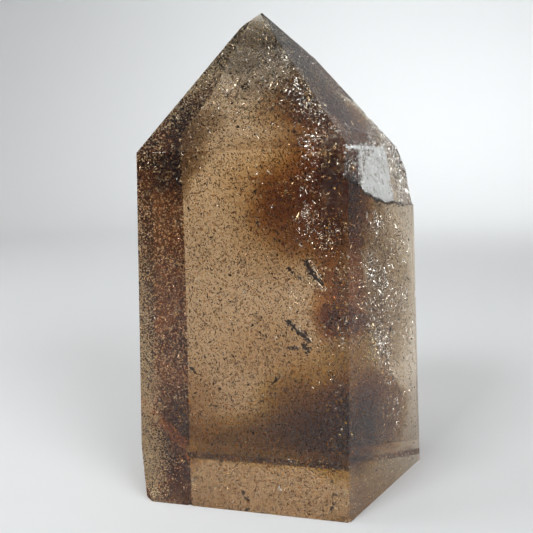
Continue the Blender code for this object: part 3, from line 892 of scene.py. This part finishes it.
BRIGHT_CRACKS = (((6.9, -6.0, 37.9), (8.9, -6.1, 34.9), 0.26, 0.08, 0.15),
                 ((7.6, -6.0, 34.9), (9.1, -6.0, 33.6), 0.34, 0.08, -0.05),
                 ((3.7, -5.2, 33.6), (5.5, -5.3, 31.0), 0.34, 0.1, -0.05),
                 ((4.5, -5.2, 33.5), (6.1, -5.3, 31.6), 0.2, 0.08, 0.05),
                 ((5.2, -7.4, 28.2), (7.4, -7.4, 26.2), 0.16, 0.08, 0.1),
                 ((-3.3, 3.1, 69.2), (0.9, -0.4, 64.6), 0.5, 0.08, 0.25),
                 ((9.2, 3.4, 62.2), (11.2, -1.7, 57.3), 0.22, 0.08, 0.1),
                 ((10.0, 3.4, 61.0), (11.6, -1.5, 57.2), 0.12, 0.06, 0.1),
                 ((14.6, 4.0, 56.9), (15.9, 3.6, 55.4), 0.18, 0.08, 0.0),
                 ((4.5, -4.6, 63.7), (5.9, -6.0, 61.0), 0.14, 0.06, 0.05),
                 ((13.5, -3.2, 26.0), (19.0, 5.6, 12.2), 0.3, 0.1, 0.3),
                 ((14.2, -0.4, 26.2), (16.0, 2.4, 19.0), 0.5, 0.1, -0.2),
                 ((-0.4, 0.9, 72.3), (0.5, 1.0, 71.7), 0.45, 0.15, 0.0))
# share of the table's width and thickness that the lens takes, leaving the rest to the crumbs
DARK_LENS, BRIGHT_LENS = (0.45, 0.4), (0.6, 1.0)


def films(table, lens_share):
    """The lens of every crack in the table, at its share of the width and thickness."""
    return [crack(start, end, width * lens_share[0], thickness * lens_share[1], bow, phase=float(number))
            for number, (start, end, width, thickness, bow) in enumerate(table)]


draw = np.random.default_rng(24)
crumbs_painted_dark = crumbs(CRACKS_PAINTED_DARK, TOWARDS_VIEWER, 0.5, 26.0, 0.13, draw)
# the dark of these cracks is a painted reflection
make_piece("cracks_painted_dark_reflection", *joined(films(CRACKS_PAINTED_DARK, DARK_LENS) + [crumbs_painted_dark]), dark)
bright_crumbs = crumbs(BRIGHT_CRACKS, MIRROR_LEAN, MIRROR_SPREAD, 40.0, 0.10, draw)
make_piece("bright_cracks", *joined(films(BRIGHT_CRACKS, BRIGHT_LENS) + [bright_crumbs]), silver)

# %% [markdown]
# ## Frost and painted highlight under the chip
# The chip looks whitish partly because the blow left countless tiny cracks just under its surface, and partly
# by a painted highlight on its white facet. The crystal's own mesh says where that surface is: its triangles
# that lie inside the right face's plane are picked out, points are spread over them by area, and a thin flake
# is set a little under each. It is not one even white. Near the front edge the frost is thin and grey, then
# comes a white facet, partly frost and partly painted highlight, and the far part is crackled, with brown
# between the glints. Dark grains lie along the steep lower lip, and a highlight is painted on the rims.

# %% The chip's surface, from the crystal's mesh
HOLLOW_DEPTH = 0.1, 4.5
CHIP_FACING, LIP_FACING = 0.75, 0.9         # the chip looks about the right face's way, and the lip doesn't
LIP_UP, LIP_TOP = 0.45, 50.5                # the lip looks up this much, and lies below this height

mesh = quartz.data
corner_numbers = np.empty(len(mesh.polygons) * 3, int)
mesh.polygons.foreach_get("vertices", corner_numbers)
coordinates = np.empty(len(mesh.vertices) * 3)
mesh.vertices.foreach_get("co", coordinates)
corners = (coordinates.reshape(-1, 3) / MM)[corner_numbers.reshape(-1, 3)]
middles = corners.mean(axis=1)
middle_depth = right_distance - middles @ right_normal
facing = np.cross(corners[:, 1] - corners[:, 0], corners[:, 2] - corners[:, 0])
areas = np.linalg.norm(facing, axis=1) / 2
facing /= 2 * areas[:, None]
in_hollow = ((middle_depth > HOLLOW_DEPTH[0]) & (middle_depth < HOLLOW_DEPTH[1])
             & (middles[:, 2] > CHIP_LOW) & (middles[:, 2] < CHIP_HIGH))
of_chip = in_hollow & (facing @ right_normal > CHIP_FACING)
of_lip = (in_hollow & (facing[:, 2] > LIP_UP) & (middles[:, 2] < LIP_TOP)
          & (facing @ right_normal < LIP_FACING))
print("chip and lip, square mm:", round(float(areas[of_chip].sum()), 1), round(float(areas[of_lip].sum()), 1))


def under_surface(chosen, count, depths, draw):
    """count points spread by area under the chosen triangles, at the depths drawn, and the way they face."""
    picked = draw.choice(np.flatnonzero(chosen), count, p=areas[chosen] / areas[chosen].sum())
    weights = draw.dirichlet((1.0, 1.0, 1.0), count)
    places = np.einsum("nk,nkj->nj", weights, corners[picked])
    return places - facing[picked] * draw.uniform(*depths, count)[:, None], facing[picked]


def flat_flakes(places, looks, half, draw):
    """Thin flakes of about that half width at the places, turned to look where looks says."""
    wide = half * log_normal(1.0, 0.4, len(places), draw)
    shape = np.column_stack([np.full(len(wide), FLAKE_THICKNESS), np.ones(len(wide)),
                             draw.uniform(0.5, 1.0, len(wide))])
    return grains(places, looks, wide[:, None] * shape, draw, around=6)


def along_chip(points):
    """How far each point lies from the front right edge, along the right face."""
    return (points - EDGE_CORNER) @ ALONG_RIGHT


# %% Glints in the grey and the crackled part
CHIP_FLAKES = 5600
CHIP_FLAKE_DEPTHS = 0.17, 0.5
GREY_END, FACET_END = 6.2, 14.6             # where the grey part and the white facet end, along the chip
# in the grey part, the facet and the crackled part: share of the flakes that stay, and how much they lean
GREY_SHARE, FACET_SHARE, CRACKLED_SHARE = 0.30, 0.9, 0.42
GREY_UNREST, FACET_UNREST, CRACKLED_UNREST = 0.35, 0.12, 0.42
FINE_GLINT, COARSE_GLINT = 0.11, 0.185
GLINTS_TOP = CHIP_HIGH - 0.5

draw = np.random.default_rng(23)
chip_places, chip_looks = under_surface(of_chip, CHIP_FLAKES, CHIP_FLAKE_DEPTHS, draw)
chip_along = along_chip(chip_places)
parts_of_chip = [chip_along < GREY_END, chip_along < FACET_END]
share = np.select(parts_of_chip, [GREY_SHARE, FACET_SHARE], CRACKLED_SHARE)
unrest = np.select(parts_of_chip, [GREY_UNREST, FACET_UNREST], CRACKLED_UNREST)
keep = (draw.uniform(size=CHIP_FLAKES) < share) & (chip_places[:, 2] < GLINTS_TOP)
chip_looks = chip_looks + unrest[:, None] * draw.normal(size=chip_looks.shape)
chip_half = np.where(chip_along < FACET_END, FINE_GLINT, COARSE_GLINT)[keep]
make_piece("chip_frost", *flat_flakes(chip_places[keep], chip_looks[keep], chip_half, draw), silver)

# %% White facet, partly frost and partly painted highlight
FACET_GRAINS = 4400
FACET_TRIES = 3 * FACET_GRAINS
FACET_DEPTHS = 0.04, 0.3
FACET_TOP = 53.9
FACET_SHARES = 0.55, 2.2                    # share of the grains that stay there, and what streaks add
FACET_RUNS_OVER = 1.0, 0.6                  # a few grains lie this far outside its left and right ends

facet_places, facet_looks = under_surface(of_chip, FACET_TRIES, FACET_DEPTHS, draw)
facet_along = along_chip(facet_places)
facet_height = facet_places[:, 2]
facet_left = GREY_END + 0.5 * (facet_height - 48.5) + 0.25 * np.sin(3.1 * facet_height)
facet_right = FACET_END + 0.3 * np.sin(2.3 * facet_height)
facet_top = np.minimum(FACET_TOP, 52.3 + 0.27 * (facet_along - 8.6))
streaks = 0.16 + 0.16 * np.sin(7.0 * facet_along + 0.6 * facet_height)
solid_white = (facet_along > facet_left) & (facet_along < facet_right) & (facet_height < facet_top)
near_facet = ((facet_along > GREY_END - FACET_RUNS_OVER[0]) & (facet_along < FACET_END + FACET_RUNS_OVER[1])
              & (facet_height < FACET_TOP))
stays = np.where(solid_white, FACET_SHARES[0] + FACET_SHARES[1] * streaks, streaks)
on_facet = np.flatnonzero(near_facet & (draw.uniform(size=len(facet_along)) < stays))[:FACET_GRAINS]
print("grains on the facet:", len(on_facet))

# %% Painted highlight on the rims, and dark grains on the lip
# rims of the facet, where a highlight is painted, as (along, height) at both ends
HIGHLIGHT_RIMS = (((1.6, 53.7), (15.0, 53.9)), ((6.3, 53.6), (6.5, 49.0)), ((8.8, 52.4), (14.0, 53.8)),
        ((14.9, 52.4), (14.6, 49.4)), ((6.6, 49.2), (14.4, 47.6)))
RIM_GRAINS = 34             # for each mm of a rim
RIM_REACH = 0.09
RIM_DEPTH = 0.16
WHITE_UNREST = 0.1
WHITE_HALF = 0.12
LIP_GRAINS = 1500
LIP_DEPTHS = 0.14, 0.4
LIP_ENDS = 10.0, 19.0       # the dark grains thin out between these places along the chip
LIP_HALF = 0.13


def rim_places(rims, draw):
    """Grains along each rim: s from one end to the other, laid on the nearest triangle of the chip."""
    ends = np.array(rims)
    number = np.ceil(RIM_GRAINS * np.linalg.norm(ends[:, 1] - ends[:, 0], axis=1)).astype(int)
    start, end = (np.repeat(ends[:, k], number, axis=0) for k in (0, 1))
    target = start + draw.uniform(size=(len(start), 1)) * (end - start)
    target = target + RIM_REACH * draw.normal(size=start.shape)
    flat = np.stack([along_chip(middles[of_chip]), middles[of_chip][:, 2]], axis=1)
    nearest = np.linalg.norm(target[:, None, :] - flat[None, :, :], axis=2).argmin(axis=1)
    depth = middle_depth[of_chip][nearest] + RIM_DEPTH
    place = EDGE_CORNER + target[:, :1] * ALONG_RIGHT + target[:, 1:] * np.array([0.0, 0.0, 1.0])
    outwards = right_distance - depth - place @ right_normal
    return place + outwards[:, None] * right_normal, facing[of_chip][nearest]


# white grains: frost in the chip, and on the white facet and its rims a painted highlight
white = mottled("white frost and painted highlight", (0.90, 0.91, 0.90), (1.0, 1.0, 0.99), 400.0, 0.4)
rim_spots, rim_looks = rim_places(HIGHLIGHT_RIMS, draw)
white_places = np.concatenate([facet_places[on_facet], rim_spots])
white_looks = np.concatenate([facet_looks[on_facet], rim_looks])
white_looks = white_looks + WHITE_UNREST * draw.normal(size=white_places.shape)
make_piece("white_frost_and_painted_highlight", *flat_flakes(white_places, white_looks, WHITE_HALF, draw), white)

# dark grains along the steep lower lip, thinning out towards the back
lip_places, lip_looks = under_surface(of_lip, LIP_GRAINS, LIP_DEPTHS, draw)
darkened_lip = along_chip(lip_places) < draw.uniform(*LIP_ENDS, LIP_GRAINS)
make_piece("lip_dark_grains", *flat_flakes(lip_places[darkened_lip], lip_looks[darkened_lip], LIP_HALF, draw), dark)

# %% [markdown]
# ## Smoke, and painted shade
# The brown is not even. A denser, redder cloud hangs under the right shoulder. Painted shade darkens the
# zone over the base and makes the point, the left shoulder and the right side duskier. Each is drawn as
# soft lumpy bodies one inside another, with no surface of their own and only an absorption inside, so light
# passes them and comes out browner. A ball would show its rim. These bodies get thin much faster than a ball
# towards theirs, so no edge shows.
# Where a body is meant to fill a corner, it is a ball after all, pressed flat behind the faces.

# %% Where the smoke and the painted shade hang
# how strongly red, green and blue are absorbed, next to red; each stays below 4
WARM = 1.0, 1.62, 2.8
BROWN = 1.0, 2.0, 3.8
# the grey, dusk and olive hues are painted shade
SHADE_GREY = 1.0, 1.08, 1.18
SHADE_DUSK = 1.0, 1.25, 1.65
SHADE_OLIVE = 1.0, 1.5, 3.9
CLOUD, FILL = 3, 1          # a cloud thins out to its rim, a fill is full up to the faces
# middle, half sizes, hue, absorption for each metre in red, a number that shifts the lumps, and the kind
SMOKE_AND_SHADE_BODIES = (((4.5, -1.5, 47.0), (13.5, 6.0, 13.0), WARM, 42.0, 0.0, CLOUD),
                ((6.5, -2.5, 46.8), (9.0, 5.0, 11.5), WARM, 70.0, 1.7, CLOUD),
                ((8.8, -3.5, 47.5), (5.5, 4.0, 8.5), WARM, 95.0, 3.1, CLOUD),
                ((9.8, -4.2, 50.5), (4.4, 3.0, 4.6), WARM, 130.0, 4.4, CLOUD),
                ((11.2, -9.0, 48.0), (2.8, 2.2, 7.5), WARM, 230.0, 2.6, CLOUD),
                ((2.0, -2.2, 46.0), (6.2, 3.6, 5.4), WARM, 95.0, 5.3, CLOUD),
                ((8.0, -3.5, 41.0), (6.0, 3.8, 5.6), WARM, 110.0, 0.8, CLOUD),
                ((10.4, -4.8, 33.5), (4.4, 3.2, 8.5), BROWN, 110.0, 5.0, CLOUD),
                ((10.6, -5.0, 28.4), (3.6, 2.6, 3.4), WARM, 240.0, 2.2, CLOUD),
                ((-14.3, -6.6, 4.6), (4.4, 2.8, 3.0), BROWN, 60.0, 0.6, CLOUD),
                # painted shade: these darken the zone over the base
                ((0.5, -7.0, 9.8), (20.0, 4.6, 5.8), SHADE_OLIVE, 80.0, 1.2, CLOUD),
                ((10.0, -6.0, 12.5), (11.0, 4.8, 9.5), SHADE_OLIVE, 92.0, 2.9, CLOUD),
                ((9.0, -5.5, 15.5), (10.5, 4.8, 13.0), SHADE_OLIVE, 70.0, 0.9, CLOUD),
                # painted shade: these darken the point
                ((0.0, 1.0, 66.5), (13.0, 7.5, 9.0), SHADE_GREY, 55.0, 3.7, CLOUD),
                ((-0.5, 1.5, 71.5), (9.0, 9.0, 8.5), SHADE_GREY, 60.0, 2.0, FILL),
                ((-0.5, 1.5, 73.0), (8.0, 8.0, 5.5), SHADE_DUSK, 150.0, 1.0, FILL),
                ((7.0, -1.5, 59.5), (8.0, 5.0, 7.0), WARM, 90.0, 0.9, CLOUD),
                ((10.0, 1.5, 57.5), (9.0, 6.0, 8.0), WARM, 150.0, 3.3, CLOUD),
                # painted shade at the left shoulder
                ((-14.0, -2.0, 51.0), (5.0, 6.0, 5.5), SHADE_DUSK, 150.0, 0.2, CLOUD),
                ((-12.0, 0.5, 56.5), (5.0, 5.5, 5.5), SHADE_DUSK, 110.0, 2.2, CLOUD),
                ((2.0, -1.0, 23.0), (10.0, 6.0, 7.0), WARM, 18.0, 1.9, CLOUD),
                ((-13.0, 0.0, 12.0), (8.0, 6.0, 8.0), WARM, 22.0, 4.1, CLOUD),
                # painted shade low on the left, over the base
                ((-15.5, -4.5, 11.5), (4.5, 4.5, 5.5), SHADE_OLIVE, 60.0, 1.1, CLOUD),
                # painted shade behind the right side
                ((14.5, -1.0, 38.0), (6.0, 3.6, 14.0), SHADE_GREY, 100.0, 0.4, CLOUD),
                ((17.0, 4.0, 29.0), (7.5, 6.5, 16.0), SHADE_DUSK, 80.0, 1.4, CLOUD),
                ((16.0, 1.0, 12.0), (8.0, 7.0, 9.5), WARM, 150.0, 2.4, CLOUD))
print("smoke bodies:", len(SMOKE_AND_SHADE_BODIES))

# %% Lumpy bodies of denser smoke and of painted shade
SMOKE_MARGIN = 0.15         # a body that would come nearer to a face than this is pressed flat there
SMOKE_RINGS = 22
SMOKE_AROUND = 36
BODY_LEAN = 0.35

# the faces that hold the smoke in, and the chip's slanted plane with them
chip_plane = right_normal + CHIP_DEEPENS * ALONG_RIGHT
chip_distance = right_distance - CHIP_NEAR_DEPTH + CHIP_DEEPENS * EDGE_CORNER @ ALONG_RIGHT
wall_directions = np.concatenate([face_directions, [chip_plane]])
wall_distances = np.append(face_distances, chip_distance)


def smoke_and_shade_body(middle, half_sizes, shift, kind):
    """Across at t, u: sin t (1 + waves in u). Through: cos t to the power of the kind. At 3 the body thins
    out softly to its rim, and at 1 it is a ball, pressed flat where it meets a face."""
    t = math.pi * np.arange(1, SMOKE_RINGS + 1)[:, None] / (SMOKE_RINGS + 1)
    u = 2 * math.pi * np.arange(SMOKE_AROUND)[None, :] / SMOKE_AROUND
    waves = 0.16 * np.sin(2 * u + shift) + 0.12 * np.sin(3 * u - 2 * shift) + 0.07 * np.sin(5 * u + 3 * shift)
    across = np.sin(t) * (1.0 + waves)
    lean = BODY_LEAN * np.sin(t) * np.sin(u + shift)
    body = np.stack([across * np.cos(u), lean - np.cos(t) ** kind, across * np.sin(u)], axis=2)
    reach = np.concatenate([[[0, -1.0, 0]], body.reshape(-1, 3), [[0, 1.0, 0]]]) * np.array(half_sizes)
    room = wall_distances - SMOKE_MARGIN - np.array(middle) @ wall_directions.T
    outwards = np.maximum(reach @ wall_directions.T, 1e-6)
    fits = np.clip((room / outwards).min(axis=1), 0.0, 1.0)
    return np.array(middle) + reach * fits[:, None], ring_triangles(SMOKE_RINGS, SMOKE_AROUND)


def smoke_and_shade_material(name, hue, strength):
    """Only a volume: it takes away strength times the hue's share for each metre of the way."""
    material, tree, shader = new_material(name)
    tree.nodes.remove(shader)
    tint = colour(*(1.0 - share / 4 for share in hue))
    volume = add_node(tree, "ShaderNodeVolumeAbsorption", Color=tint, Density=strength * 4 / hue[0])
    tree.links.new(volume.outputs["Volume"], tree.nodes["Material Output"].inputs["Volume"])
    return material


for number, (middle, half_sizes, hue, strength, shift, kind) in enumerate(SMOKE_AND_SHADE_BODIES, 1):
    points, triangles = smoke_and_shade_body(middle, half_sizes, shift, kind)
    finish = smoke_and_shade_material(f"smoke {number}", hue, strength)
    make_piece(f"smoke_{number}", points, triangles, finish, smooth=True)
    print("  inside the crystal:", bool(inside(points, 0.1).all()))
